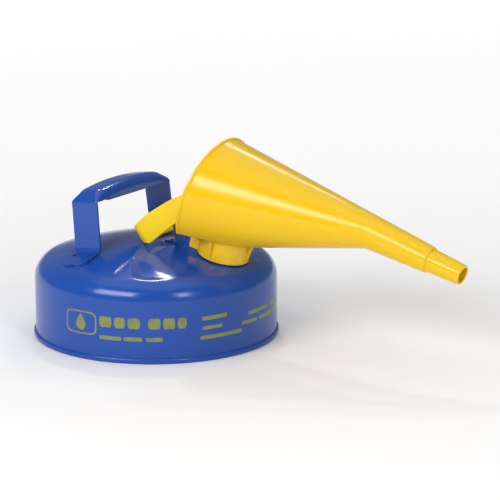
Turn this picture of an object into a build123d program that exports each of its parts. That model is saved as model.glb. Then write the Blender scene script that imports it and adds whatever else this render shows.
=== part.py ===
# Safety gas can, two-quart size, with a pouring funnel on its spout.
# Millimetres. Origin: centre of the base on the floor, +Z up, +X towards the pouring end.
from build123d import *
from math import asin, atan2, cos, degrees, radians, sin, sqrt
import os

# ---------------------------------------------------------------- driving sizes
# Can: a drawn steel shell with a shallow spherical dome and a rolled bottom seam.
rim_r = 105.0
seam_h = 4.6
wall_r = 103.2
sheet = 0.9
dome_r = 300.2
apex_z = 82.2
shoulder_r = 19.8
shoulder_z = 49.8
# Spout neck: stands square to the dome, in front of its middle.
neck_x = 67.7
neck_tilt = 13.6
neck_r = 19.2
neck_wall = 1.2
neck_top = 24.0
neck_foot = -5.0
bead_r = 20.6
bead_low = 21.8
# Hinge bracket behind the neck, and the two pins it carries.
cheek_out = 8.6
cheek_t = 1.5
pin_r = 2.0
run_gap = 0.06
lid_pin_at = (48.2, 106.4)
trigger_pin_at = (29.0, 104.5)
# Lid
gasket_t = 2.0
lid_r = 21.3
lid_t = 1.2
arm_t = 2.0
prong_in = 9.4
prong_out = 11.4
eye_r = 3.1
# Trigger loop
loop_half = 28.0
loop_wall = 3.0
loop_corner = 9.0
# Handle strap
strap_w = 25.4
strap_t = 2.0
handle_x = 31.0
leg_y = 53.3
foot_y = 81.0
leg_top_z = 119.5
shoulder_y = 44.0
shoulder_z = 126.3
crown_z = 130.5
roll_low_z = 117.6
# Funnel, in the spout's own frame: p forwards, s up the spout.
mouth_p, mouth_s, mouth_r, mouth_lean = -22.7, 48.6, 49.3, 85.0
kink_p, kink_s, kink_r = 127.6, 69.8, 14.0
step_p, step_s, step_r = 184.0, 66.4, 10.9
spigot_r = 9.7
tip_p, tip_s, tip_r = 213.2, 65.0, 8.3
skin = 1.8
plate_s = 19.4
plate_t = 2.0
collar_in = 19.8
collar_out = 22.0
collar_foot = 0.7
slot_half = 13.0
plate_slot_half = 18.0

# ---------------------------------------------------------------- worked out from them
dome_centre_z = apex_z - dome_r
tilt = radians(neck_tilt)
neck_base_z = dome_centre_z + sqrt(dome_r**2 - neck_x**2)
spout_up = Vector(sin(tilt), 0, cos(tilt))
spout_ahead = Vector(cos(tilt), 0, -sin(tilt))
spout_base = Vector(neck_x, 0, neck_base_z)
spout = Plane(origin=spout_base, x_dir=spout_ahead, z_dir=spout_up)
side = Plane(origin=spout_base, x_dir=spout_ahead, z_dir=(0, -1, 0))
spout_axis = Axis(spout_base, spout_up)
os.makedirs("parts", exist_ok=True)


def spout_point(p, s, y=0.0):
    return spout_base + spout_ahead * p + spout_up * s + Vector(0, y, 0)


def to_spout(x, z):
    away = Vector(x, 0, z) - spout_base
    return away.dot(spout_ahead), away.dot(spout_up)


lid_pin_p, lid_pin_s = to_spout(*lid_pin_at)
# Nose and tail touch on the line between the pins, twice as far from the trigger's pin.
nose_share = 2.0 / 3.0
nose_r = 2.5
nose_t = 2.2
touch = [a + (b - a) * nose_share for a, b in zip(trigger_pin_at, lid_pin_at)]
nose_at = (touch[0], touch[1] + nose_r + 0.3)
tail_at = (touch[0], touch[1] - nose_r - 0.3)


def write(piece, name):
    piece.part.label = name
    export_step(piece.part, f"parts/{name}.step")


def can_outline(inset):
    # Half section of the shell, moved inwards by inset: wall, shoulder arc and dome cap.
    corner_r = shoulder_r - inset
    cap_r = dome_r - inset
    corner_x = wall_r - shoulder_r
    lean = asin(corner_x / (dome_r - shoulder_r))
    join = (cap_r * sin(lean), dome_centre_z + cap_r * cos(lean))
    corner_z = dome_centre_z + (dome_r - shoulder_r) * cos(lean)
    mid = lean + (radians(90) - lean) / 2
    top = (0, dome_centre_z + cap_r)
    halfway = (cap_r * sin(lean / 2), dome_centre_z + cap_r * cos(lean / 2))
    with BuildLine(Plane.XZ) as outline:
        Line((0, seam_h), (wall_r - inset, seam_h))
        Line((wall_r - inset, seam_h), (wall_r - inset, corner_z))
        ThreePointArc(
            (wall_r - inset, corner_z),
            (corner_x + corner_r * sin(mid), corner_z + corner_r * cos(mid)),
            join,
        )
        ThreePointArc(join, halfway, top)
        Line(top, (0, seam_h))
    return outline.line


# ---------------------------------------------------------------- can
with BuildPart() as can_body:
    with BuildSketch(Plane.XZ):
        make_face(can_outline(0.0))
    revolve(axis=Axis.Z)
    with BuildSketch(Plane.XZ):
        make_face(can_outline(sheet))
    revolve(axis=Axis.Z, mode=Mode.SUBTRACT)
    with BuildSketch(spout.offset(-20)):
        Circle(neck_r)
    extrude(amount=40, mode=Mode.SUBTRACT)
write(can_body, "can_body")

with BuildPart() as can_solid:
    with BuildSketch(Plane.XZ):
        make_face(can_outline(0.0))
    revolve(axis=Axis.Z)

seam_in = 101.2
with BuildPart() as bottom_seam:
    with BuildSketch(Plane.XZ):
        with Locations(((rim_r + seam_in) / 2, seam_h / 2)):
            RectangleRounded(rim_r - seam_in, seam_h, 1.7)
    revolve(axis=Axis.Z)
write(bottom_seam, "bottom_seam")

recess_z = 3.0
with BuildPart() as can_bottom:
    with BuildSketch(Plane.XY.offset(recess_z)):
        Circle(seam_in)
    extrude(amount=sheet)
    with BuildSketch(Plane.XY.offset(recess_z)):
        Circle(seam_in - 9)
    extrude(amount=sheet, mode=Mode.SUBTRACT)
    with BuildSketch(Plane.XY.offset(recess_z + sheet)):
        Circle(seam_in - 9 + sheet)
    extrude(amount=sheet)
write(can_bottom, "can_bottom")

# ---------------------------------------------------------------- handle
# The strap lies in a plane through the dome's centre, so its feet sit flat on the dome.
handle_lean = asin(handle_x / dome_r)
handle_plane = Plane(
    origin=(0, 0, dome_centre_z),
    x_dir=(0, 1, 0),
    z_dir=(cos(handle_lean), 0, sin(handle_lean)),
)
mid_r = dome_r + strap_t / 2 + 0.05
leg_top_h = (leg_top_z - dome_centre_z) / cos(handle_lean)
shoulder_h = (shoulder_z - dome_centre_z) / cos(handle_lean)
crown_h = (crown_z - dome_centre_z) / cos(handle_lean) - strap_t / 2
roll_low_h = (roll_low_z - dome_centre_z) / cos(handle_lean)
leg_foot_y = leg_y + 2.0
foot_mid_y = (foot_y + leg_foot_y) / 2


def on_dome(y):
    return (y, sqrt(mid_r**2 - y**2))


with BuildPart() as handle:
    with BuildSketch(handle_plane):
        with BuildLine():
            ThreePointArc(on_dome(-foot_y), on_dome(-foot_mid_y), on_dome(-leg_foot_y))
            Polyline(on_dome(-leg_foot_y), (-leg_y, leg_top_h), (-shoulder_y, shoulder_h))
            ThreePointArc((-shoulder_y, shoulder_h), (0, crown_h), (shoulder_y, shoulder_h))
            Polyline((shoulder_y, shoulder_h), (leg_y, leg_top_h), on_dome(leg_foot_y))
            ThreePointArc(on_dome(leg_foot_y), on_dome(foot_mid_y), on_dome(foot_y))
        trace(line_width=strap_t)
    extrude(amount=strap_w / 2, both=True)
    # The grip's edges are rolled down, to a straight lower edge.
    for edge_side in (1, -1):
        with BuildSketch(handle_plane.offset(edge_side * (strap_w / 2 - strap_t / 2))):
            with BuildLine():
                ThreePointArc((-shoulder_y, shoulder_h), (0, crown_h), (shoulder_y, shoulder_h))
                Polyline(
                    (shoulder_y, shoulder_h),
                    (shoulder_y + 2, roll_low_h),
                    (-shoulder_y - 2, roll_low_h),
                    (-shoulder_y, shoulder_h),
                )
            make_face()
        extrude(amount=strap_t / 2, both=True)
write(handle, "handle")

weld_y = 64.0
weld_half = 7.7
with BuildPart() as handle_welds:
    for wx in (-handle_x - weld_half, -handle_x + weld_half):
        for wy in (-weld_y, weld_y):
            # Radial direction of the dome under the nugget.
            foot_mid = Vector(wx, wy, sqrt(dome_r**2 - handle_x**2 - wy**2))
            up = foot_mid.normalized()
            level = mid_r + strap_t / 2 + 0.3
            start = Vector(0, 0, dome_centre_z) + up * level
            with BuildSketch(Plane(origin=start, z_dir=up)):
                Circle(2.2)
            extrude(amount=0.6)
write(handle_welds, "handle_welds")

# ---------------------------------------------------------------- spout
with BuildPart() as spout_neck:
    with BuildSketch(side):
        with BuildLine():
            Polyline(
                (neck_r - neck_wall, neck_foot),
                (neck_r, neck_foot),
                (neck_r, bead_low),
                (bead_r, bead_low + 0.8),
                (bead_r, neck_top - 0.7),
                (bead_r - 0.7, neck_top),
                (neck_r - neck_wall, neck_top),
                close=True,
            )
        make_face()
    revolve(axis=spout_axis)
write(spout_neck, "spout_neck")

with BuildPart() as neck_flange:
    with BuildSketch(spout.offset(neck_foot + 0.4)):
        Circle(neck_r + 6.5)
        Circle(neck_r, mode=Mode.SUBTRACT)
    extrude(amount=1.2)
write(neck_flange, "neck_flange")

screen_r = 14.0
screen_foot = -38.0
screen_top = 19.0
with BuildPart() as flame_screen:
    with BuildSketch(spout.offset(screen_foot)):
        Circle(screen_r)
        Circle(screen_r - 0.8, mode=Mode.SUBTRACT)
    extrude(amount=screen_top - screen_foot)
write(flame_screen, "flame_screen")

with BuildPart() as screen_ring:
    with BuildSketch(spout.offset(screen_top - 2.0)):
        Circle(neck_r - neck_wall)
        Circle(screen_r, mode=Mode.SUBTRACT)
    extrude(amount=2.0)
write(screen_ring, "screen_ring")

with BuildPart() as screen_cap:
    with BuildSketch(spout.offset(screen_foot - 1.2)):
        Circle(screen_r)
    extrude(amount=1.2)
write(screen_cap, "screen_cap")

# ---------------------------------------------------------------- hinge bracket
# A channel with its web to the rear: two cheeks carry both pins.
boss_r = 6.0
tx, tz = trigger_pin_at
lx, lz = lid_pin_at
neck_back = spout_point(-neck_r + 0.6, 2.0)
neck_back_top = spout_point(-neck_r - 1.8, bead_low - 1.0)
web_foot = (26.3, 78.0)
web_top = (22.8, 99.0)
tab_back = web_foot[0] - 11.0
tab_front = web_foot[0] + 1.0
tab_z = 83.3
with BuildPart() as hinge_bracket:
    with BuildSketch(Plane.XZ.offset(-cheek_out)):
        with BuildLine():
            Polyline(
                web_foot,
                web_top,
                (tx - boss_r + 0.3, tz + 1.5),
                (tx, tz + boss_r),
                (tx + boss_r, tz + 1),
                (lx - boss_r, lz - 3),
                (lx, lz),
                (neck_back_top.X, neck_back_top.Z),
                (neck_back.X, neck_back.Z),
                (neck_back.X, 70),
                (web_foot[0], 70),
                close=True,
            )
        make_face()
        with Locations((tx, tz), (lx, lz)):
            Circle(boss_r)
    extrude(amount=2 * cheek_out)
    with BuildSketch(Plane.XZ.offset(-cheek_out + cheek_t)):
        with Locations((60 + web_top[0] + cheek_t, 90)):
            Rectangle(120, 80)
    extrude(amount=2 * (cheek_out - cheek_t), mode=Mode.SUBTRACT)
    with BuildSketch(Plane.XZ.offset(-cheek_out)):
        with BuildLine():
            Polyline(
                (tab_back, 70),
                (tab_back, tab_z),
                (tab_front, tab_z - 0.4),
                (tab_front, 70),
                close=True,
            )
        make_face()
    extrude(amount=2 * cheek_out)
    with BuildSketch(Plane.XZ.offset(-cheek_out)):
        with Locations((tx, tz), (lx, lz)):
            Circle(pin_r)
    extrude(amount=2 * cheek_out, mode=Mode.SUBTRACT)
    add(can_solid.part, mode=Mode.SUBTRACT)
write(hinge_bracket, "hinge_bracket")

with BuildPart() as bracket_welds:
    with BuildSketch(Plane.XY.offset(tab_z)):
        with GridLocations(0, 9.0, 1, 2):
            with Locations((web_foot[0] - 6.5, 0)):
                Circle(1.9)
    extrude(amount=0.7)
write(bracket_welds, "bracket_welds")


def cross_pin(at, half, radius):
    with BuildPart() as pin:
        with BuildSketch(Plane.XZ.offset(-half)):
            with Locations(at):
                Circle(radius)
        extrude(amount=2 * half)
    return pin


lid_pin = cross_pin(lid_pin_at, 13.2, pin_r)
write(lid_pin, "lid_pin")

with BuildPart() as lid_pin_clips:
    for face_y in (-12.6, 11.8):
        with BuildSketch(Plane.XZ.offset(-face_y)):
            with Locations(lid_pin_at):
                Circle(3.8)
                Circle(pin_r, mode=Mode.SUBTRACT)
        extrude(amount=-0.8)
write(lid_pin_clips, "lid_pin_clips")

spring_r = 3.4
wire_r = 0.55
spring_len = 11.0
with BuildPart() as lid_spring:
    with BuildLine():
        coil = Helix(1.8, spring_len, spring_r, center=(lx, -spring_len / 2, lz), direction=(0, 1, 0))
    with BuildSketch(Plane(origin=coil @ 0, z_dir=coil % 0)):
        Circle(wire_r)
    sweep(path=coil, is_frenet=True)
write(lid_spring, "lid_spring")

# ---------------------------------------------------------------- lid
cap_low = neck_top + gasket_t
cap_high = cap_low + lid_t
rivet_r = 2.5
with BuildPart() as lid_gasket:
    with BuildSketch(spout.offset(neck_top)):
        Circle(bead_r - 0.2)
        Circle(16.2, mode=Mode.SUBTRACT)
    extrude(amount=gasket_t)
write(lid_gasket, "lid_gasket")

with BuildPart() as lid_cap:
    with BuildSketch(spout.offset(cap_low)):
        Circle(lid_r)
        Circle(rivet_r, mode=Mode.SUBTRACT)
    extrude(amount=lid_t)
    top_edges = lid_cap.edges().filter_by(GeomType.CIRCLE).sort_by(spout_axis)[-2:]
    fillet(top_edges.sort_by(SortBy.RADIUS)[-1], 0.6)
write(lid_cap, "lid_cap")

with BuildPart() as gasket_retainer:
    with BuildSketch(spout.offset(cap_low - 1.4)):
        Circle(16.0)
        Circle(rivet_r, mode=Mode.SUBTRACT)
    extrude(amount=1.4)
write(gasket_retainer, "gasket_retainer")

arm_back = lid_pin_p + boss_r + 1.2
with BuildPart() as lid_arm:
    with BuildSketch(spout.offset(cap_high)):
        with Locations(((arm_back + 12.0) / 2, 0)):
            RectangleRounded(12.0 - arm_back, 13.0, 2.5)
        with Locations((arm_back + 3.5, 0)):
            Rectangle(7.0, 2 * prong_out)
        Circle(rivet_r, mode=Mode.SUBTRACT)
    extrude(amount=arm_t)
    tail_p, tail_s = to_spout(*tail_at)
    for face_y in (prong_in, -prong_out):
        with BuildSketch(side.offset(-face_y)):
            with BuildLine():
                Polyline(
                    (arm_back + 7.0, cap_high),
                    (arm_back + 7.0, cap_high + arm_t),
                    (lid_pin_p + 1.0, lid_pin_s + eye_r - 0.1),
                    (lid_pin_p - 2.7, lid_pin_s - 1.2),
                    (lid_pin_p - 5.1, lid_pin_s - 2.4),
                    (tail_p, tail_s - nose_r),
                    (lid_pin_p, lid_pin_s - eye_r),
                    (lid_pin_p + 4.0, lid_pin_s - 1.5),
                    (arm_back, cap_high),
                    close=True,
                )
            make_face()
            with Locations((lid_pin_p, lid_pin_s)):
                Circle(eye_r)
            with Locations((tail_p, tail_s)):
                Circle(nose_r)
            with Locations((lid_pin_p, lid_pin_s)):
                Circle(pin_r + run_gap, mode=Mode.SUBTRACT)
        extrude(amount=-(prong_out - prong_in))
write(lid_arm, "lid_arm")

with BuildPart() as lid_rivet:
    with BuildSketch(spout.offset(cap_low - 1.4)):
        Circle(rivet_r)
    extrude(amount=1.4 + lid_t + arm_t)
    with BuildSketch(spout.offset(cap_low - 2.4)):
        Circle(4.6)
    extrude(amount=1.0)
    with BuildSketch(spout.offset(cap_high + arm_t)):
        Circle(4.6)
    extrude(amount=1.4, taper=25)
write(lid_rivet, "lid_rivet")

# ---------------------------------------------------------------- trigger loop
# A moulded band in a U, tilted up towards the funnel's mouth, snapped over the pin's ends.
loop_slope = 37.0
loop_run = Vector(cos(radians(loop_slope)), 0, sin(radians(loop_slope)))
loop_start = Vector(1.0, 0, 83.3)
loop_plane = Plane(origin=loop_start, x_dir=loop_run, z_dir=(-loop_run.Z, 0, loop_run.X))
loop_len = 90.0
loop_low = 83.3
loop_front = 54.0
boss_in = cheek_out + 0.8
with BuildPart() as trigger_yoke:
    with BuildSketch(loop_plane.offset(-20)):
        with Locations((loop_len / 2, 0)):
            RectangleRounded(loop_len, 2 * loop_half, loop_corner)
            RectangleRounded(
                loop_len - 2 * loop_wall,
                2 * (loop_half - loop_wall),
                loop_corner - loop_wall,
                mode=Mode.SUBTRACT,
            )
    extrude(amount=50)
    with BuildSketch(Plane.XZ.offset(-40)):
        with BuildLine():
            Polyline(
                (-20.0, loop_low),
                (-20.0, 86.2),
                (-7.3, 94.3),
                (4.1, 105.7),
                (9.2, 108.9),
                (24.6, 116.8),
                (40.0, 124.6),
                (loop_front, 133.6),
                (loop_front, 116.3),
                (12.6, loop_low),
                close=True,
            )
        make_face()
    extrude(amount=80, mode=Mode.INTERSECT)
    for hand in (1, -1):
        # Blind boss on the inner face of each arm, and the nose that pushes the lid's tail.
        with BuildSketch(Plane.XZ.offset(-hand * boss_in)):
            with Locations(trigger_pin_at):
                Circle(4.8)
        extrude(amount=-hand * (loop_half - loop_wall + 0.5 - boss_in))
        with BuildSketch(Plane.XZ.offset(-hand * boss_in)):
            with BuildLine():
                Polyline(
                    (tx, tz + 4.8),
                    (nose_at[0], nose_at[1] + nose_r),
                    (nose_at[0] + nose_r, nose_at[1]),
                    (nose_at[0], nose_at[1] - nose_r),
                    (tx + 3.5, tz + 0.5),
                    close=True,
                )
            make_face()
            with Locations(nose_at):
                Circle(nose_r)
        extrude(amount=-hand * nose_t)
        with BuildSketch(Plane.XZ.offset(-hand * boss_in)):
            with Locations(trigger_pin_at):
                Circle(pin_r + run_gap)
        extrude(amount=-hand * 10.8, mode=Mode.SUBTRACT)
write(trigger_yoke, "trigger_yoke")

trigger_pin = cross_pin(trigger_pin_at, boss_in + 10.5, pin_r)
write(trigger_pin, "trigger_pin")

# ---------------------------------------------------------------- funnel


def section_plane(p, s, angle):
    # Plane square to the run at this angle, in degrees above the spout's forward direction.
    run = spout_ahead * cos(radians(angle)) + spout_up * sin(radians(angle))
    return Plane(origin=spout_point(p, s), x_dir=(0, 1, 0), z_dir=run)


mouth_plane = section_plane(mouth_p, mouth_s, mouth_lean - 90)
cone_angle = degrees(atan2(kink_s - mouth_s, kink_p - mouth_p))
tube_angle = degrees(atan2(tip_s - kink_s, tip_p - kink_p))
kink_plane = section_plane(kink_p, kink_s, (cone_angle + tube_angle) / 2)
step_plane = section_plane(step_p, step_s, tube_angle)
tip_plane = section_plane(tip_p, tip_s, tube_angle)


def tapered_run(first_plane, first_r, last_plane, last_r, mode=Mode.ADD):
    with BuildSketch(first_plane) as first:
        Circle(first_r)
    with BuildSketch(last_plane) as last:
        Circle(last_r)
    loft([first.sketch, last.sketch], ruled=True, mode=mode)


mouth_in = mouth_r - skin + 0.7
with BuildPart() as funnel_cone:
    tapered_run(mouth_plane, mouth_r, kink_plane, kink_r)
    tapered_run(kink_plane, kink_r, step_plane, step_r)
    tapered_run(step_plane, spigot_r, tip_plane, tip_r)
    tapered_run(mouth_plane, mouth_r + 1.0, mouth_plane.offset(2.6), mouth_r + 0.4)
    tapered_run(mouth_plane.offset(-3), mouth_in, kink_plane, kink_r - skin, Mode.SUBTRACT)
    tapered_run(kink_plane, kink_r - skin, step_plane, step_r - skin - 0.6, Mode.SUBTRACT)
    tapered_run(step_plane, spigot_r - skin + 0.6, tip_plane.offset(2), tip_r - skin + 0.6, Mode.SUBTRACT)
    with BuildSketch(spout.offset(plate_s)):
        Rectangle(600, 300)
    extrude(amount=-60, mode=Mode.SUBTRACT)
write(funnel_cone, "funnel_cone")

rib_t = 2.0
fit_gap = 0.03
with BuildPart() as funnel_base:
    tapered_run(mouth_plane.offset(-3), mouth_in - fit_gap, kink_plane, kink_r - skin - fit_gap)
    with BuildSketch(spout.offset(plate_s)):
        Rectangle(400, 200)
    extrude(amount=plate_t, mode=Mode.INTERSECT)
    split(bisect_by=mouth_plane.offset(0.4), keep=Keep.TOP)
    with BuildSketch(spout.offset(collar_foot)):
        Circle(collar_out)
    extrude(amount=plate_s - collar_foot)
    for rib_angle in (0, 90, -90, 140, -140):
        outward = spout_ahead * cos(radians(rib_angle)) + Vector(0, 1, 0) * sin(radians(rib_angle))
        rib_plane = Plane(origin=spout_base, x_dir=outward, z_dir=outward.cross(spout_up))
        with BuildSketch(rib_plane):
            with BuildLine():
                Polyline(
                    (collar_out - 1, collar_foot + 2.0),
                    (collar_out + 0.6, collar_foot + 2.0),
                    (collar_out + 4.6, plate_s),
                    (collar_out - 1, plate_s),
                    close=True,
                )
            make_face()
        extrude(amount=rib_t / 2, both=True)
    with BuildSketch(spout.offset(3.0)):
        for hand in (1, -1):
            with Locations((-20.0, hand * (slot_half + 1.7))):
                Rectangle(9.0, 3.4)
    extrude(amount=9.0)
    with BuildSketch(spout.offset(collar_foot - 1)):
        Circle(collar_in)
    extrude(amount=40, mode=Mode.SUBTRACT)
    with BuildSketch(spout.offset(collar_foot - 1)):
        with Locations((-40, 0)):
            Rectangle(80, 2 * slot_half)
    extrude(amount=40, mode=Mode.SUBTRACT)
    with BuildSketch(spout.offset(plate_s - 4.0)):
        with Locations((-40 - 8, 0)):
            Rectangle(80, 2 * plate_slot_half)
    extrude(amount=10, mode=Mode.SUBTRACT)
write(funnel_base, "funnel_base")
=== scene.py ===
import math

import bmesh
import bpy
import numpy as np
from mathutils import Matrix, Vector


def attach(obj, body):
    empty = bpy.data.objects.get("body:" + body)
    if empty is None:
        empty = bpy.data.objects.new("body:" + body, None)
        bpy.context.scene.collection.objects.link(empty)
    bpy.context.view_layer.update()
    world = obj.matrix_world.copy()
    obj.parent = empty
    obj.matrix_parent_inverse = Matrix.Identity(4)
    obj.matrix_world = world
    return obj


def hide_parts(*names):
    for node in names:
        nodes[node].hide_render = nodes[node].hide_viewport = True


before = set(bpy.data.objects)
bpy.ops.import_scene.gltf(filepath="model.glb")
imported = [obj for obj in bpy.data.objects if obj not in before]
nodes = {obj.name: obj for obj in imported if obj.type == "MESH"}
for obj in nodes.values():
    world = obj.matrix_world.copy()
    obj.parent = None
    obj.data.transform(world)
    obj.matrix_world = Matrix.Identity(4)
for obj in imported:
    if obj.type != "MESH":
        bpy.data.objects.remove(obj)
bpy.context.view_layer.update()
mm = 0.001
print("frame loaded:", len(nodes), "nodes")


# Spout frame: "ahead" runs forwards down the dome, "up" stands square to it.
spout = dict(foot=(67.7, 0.0, 74.4667), tilt=13.6, plateFoot=19.4)
spoutTilt = math.radians(spout["tilt"])
spoutFoot = np.array(spout["foot"])
spoutAhead = np.array([math.cos(spoutTilt), 0.0, -math.sin(spoutTilt)])
spoutUp = np.array([math.sin(spoutTilt), 0.0, math.cos(spoutTilt)])
sideways = np.array([0.0, 1.0, 0.0])


def smoothStep(x):
    # Rises from 0 to 1 as x goes from 0 to 1, flat at both ends: 3x^2 - 2x^3.
    x = np.clip(x, 0.0, 1.0)
    return x * x * (3.0 - 2.0 * x)


def growFrom(x, start, width):
    # 0 up to start, then a smooth rise to 1 over the width.
    return smoothStep((x - start) / width)


def fadeFrom(x, start, width):
    # 1 up to start, then a smooth fall to 0 over the width.
    return 1 - smoothStep((x - start) / width)


def densePath(points, step):
    # Points spaced at most one step apart along a polyline, its corners kept.
    points = np.asarray(points, float)
    rows = []
    for start, end in zip(points[:-1], points[1:]):
        count = max(1, int(np.ceil(np.linalg.norm(end - start) / step)))
        rows.append(start + (end - start) * (np.arange(count) / count)[:, None])
    return np.vstack(rows + [points[-1:]])


def arcPoints(centre, radius, startDeg, endDeg, count):
    # Circle arc in a plane: centre plus radius times (cos a, sin a).
    a = np.radians(np.linspace(startDeg, endDeg, count))
    return np.stack([centre[0] + radius * np.cos(a), centre[1] + radius * np.sin(a)], -1)


def meshPiece(name, vertices, faces, mergeBelow=0.0, caps=()):
    # Vertices are in millimetres. Doubles are merged, then all faces are turned outwards.
    mesh = bpy.data.meshes.new(name)
    mesh.vertices.add(len(vertices))
    mesh.vertices.foreach_set("co", (np.asarray(vertices, float) * mm).astype(np.float32).ravel())
    mesh.loops.add(faces.size)
    mesh.loops.foreach_set("vertex_index", faces.ravel().astype(np.int32))
    mesh.polygons.add(len(faces))
    mesh.polygons.foreach_set("loop_start", np.arange(0, faces.size, 4, dtype=np.int32))
    mesh.update(calc_edges=True)
    work = bmesh.new()
    work.from_mesh(mesh)
    work.verts.ensure_lookup_table()
    for ring in caps:
        work.faces.new([work.verts[int(k)] for k in ring])
    bmesh.ops.remove_doubles(work, verts=work.verts, dist=max(mergeBelow, 1e-4) * mm)
    bmesh.ops.dissolve_degenerate(work, edges=work.edges, dist=1e-5 * mm)
    bmesh.ops.recalc_face_normals(work, faces=work.faces)
    work.to_mesh(mesh)
    work.free()
    mesh.validate()
    piece = bpy.data.objects.new(name, mesh)
    bpy.context.scene.collection.objects.link(piece)
    return piece


def gridPiece(name, grid, wrapRows=False, wrapCols=False, capRows=False, mergeBelow=0.0):
    # Quads between neighbouring points of a rows x columns grid of positions.
    rows, cols = grid.shape[:2]
    i, j = np.meshgrid(
        np.arange(rows if wrapRows else rows - 1),
        np.arange(cols if wrapCols else cols - 1),
        indexing="ij",
    )
    down, right = (i + 1) % rows, (j + 1) % cols
    faces = np.stack(
        [i * cols + j, down * cols + j, down * cols + right, i * cols + right], -1
    ).reshape(-1, 4)
    caps = []
    if capRows:
        caps = [np.arange(cols), (rows - 1) * cols + np.arange(cols)]
    return meshPiece(name, grid.reshape(-1, 3), faces, mergeBelow, caps)


def revolvePiece(name, profile, steps, centre=(0, 0, 0), axisUp=(0, 0, 1), closed=True):
    # Each profile point (radius, height) is carried round the axis.
    up = np.array(axisUp, float)
    first = np.array([0.0, 1.0, 0.0])
    second = np.cross(up, first)
    a = np.linspace(0, 2 * np.pi, steps, endpoint=False)
    ring = np.cos(a)[:, None] * second + np.sin(a)[:, None] * first
    profile = np.asarray(profile, float)
    grid = (
        np.array(centre, float)
        + profile[:, 0, None, None] * ring[None]
        + profile[:, 1, None, None] * up
    )
    return gridPiece(name, grid, wrapRows=closed, wrapCols=True, mergeBelow=0.002)


def smoothFaces(piece, sharpDeg=35):
    mesh = piece.data
    mesh.polygons.foreach_set("use_smooth", np.ones(len(mesh.polygons), bool))
    mesh.set_sharp_from_angle(angle=math.radians(sharpDeg))


def applyModifiers(piece):
    # Bakes the modifiers into the mesh, so that the piece is plain geometry.
    bpy.context.view_layer.update()
    graph = bpy.context.evaluated_depsgraph_get()
    baked = bpy.data.meshes.new_from_object(piece.evaluated_get(graph))
    old = piece.data
    piece.modifiers.clear()
    piece.data = baked
    bpy.data.meshes.remove(old)


def thicken(piece, thick, offset, edge=0.0):
    # Gives an open sheet its thickness, rounds its edges, and applies both.
    wall = piece.modifiers.new("sheet", "SOLIDIFY")
    wall.thickness = thick * mm
    wall.offset = offset
    wall.use_even_offset = False
    if edge:
        soft = piece.modifiers.new("edges", "BEVEL")
        soft.width = edge * mm
        soft.segments = 3
        soft.limit_method = "ANGLE"
        soft.angle_limit = math.radians(50)
    applyModifiers(piece)
    return piece


def settle(piece, body, material, stands=(), sharpDeg=35):
    # Finish, body, material slot and the frame nodes that the piece stands for.
    smoothFaces(piece, sharpDeg)
    piece.data.materials.clear()
    piece.data.materials.append(material)
    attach(piece, body)
    if stands:
        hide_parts(*stands)
    return piece


# Finishes: shared effects first, then one material for each finish.


def effectGroup(name, inputs, outputs):
    group = bpy.data.node_groups.new(name, "ShaderNodeTree")
    for label, kind, value in inputs:
        socket = group.interface.new_socket(name=label, in_out="INPUT", socket_type=kind)
        if value is not None:
            socket.default_value = value
    for label, kind in outputs:
        group.interface.new_socket(name=label, in_out="OUTPUT", socket_type=kind)
    start = group.nodes.new("NodeGroupInput")
    end = group.nodes.new("NodeGroupOutput")
    return group, start, end


def addNode(tree, kind, **settings):
    node = tree.nodes.new(kind)
    for key, value in settings.items():
        if key in node.inputs:
            node.inputs[key].default_value = value
        else:
            setattr(node, key, value)
    return node


def rangeNode(tree, source, low, high, toLow=0.0, toHigh=1.0):
    node = tree.nodes.new("ShaderNodeMapRange")
    for key, value in zip(("From Min", "From Max", "To Min", "To Max"), (low, high, toLow, toHigh)):
        node.inputs[key].default_value = value
    tree.links.new(source, node.inputs["Value"])
    return node.outputs["Result"]


def timesNode(tree, a, b):
    node = addNode(tree, "ShaderNodeMath", operation="MULTIPLY")
    for k, source in enumerate((a, b)):
        if isinstance(source, (int, float)):
            node.inputs[k].default_value = source
        else:
            tree.links.new(source, node.inputs[k])
    return node.outputs[0]


def makeEdgeWear():
    # Convex edges, broken up by noise: mask = ramp(pointiness) x ramp(noise).
    group, start, end = effectGroup(
        "edgeWear",
        [("Vector", "NodeSocketVector", None), ("Scale", "NodeSocketFloat", 300.0)],
        [("Mask", "NodeSocketFloat")],
    )
    points = group.nodes.new("ShaderNodeNewGeometry")
    edge = rangeNode(group, points.outputs["Pointiness"], 0.53, 0.60)
    noise = addNode(group, "ShaderNodeTexNoise", Detail=5.0, Roughness=0.6)
    group.links.new(start.outputs["Vector"], noise.inputs["Vector"])
    group.links.new(start.outputs["Scale"], noise.inputs["Scale"])
    broken = rangeNode(group, noise.outputs["Fac"], 0.48, 0.66)
    group.links.new(timesNode(group, edge, broken), end.inputs["Mask"])
    return group


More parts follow.
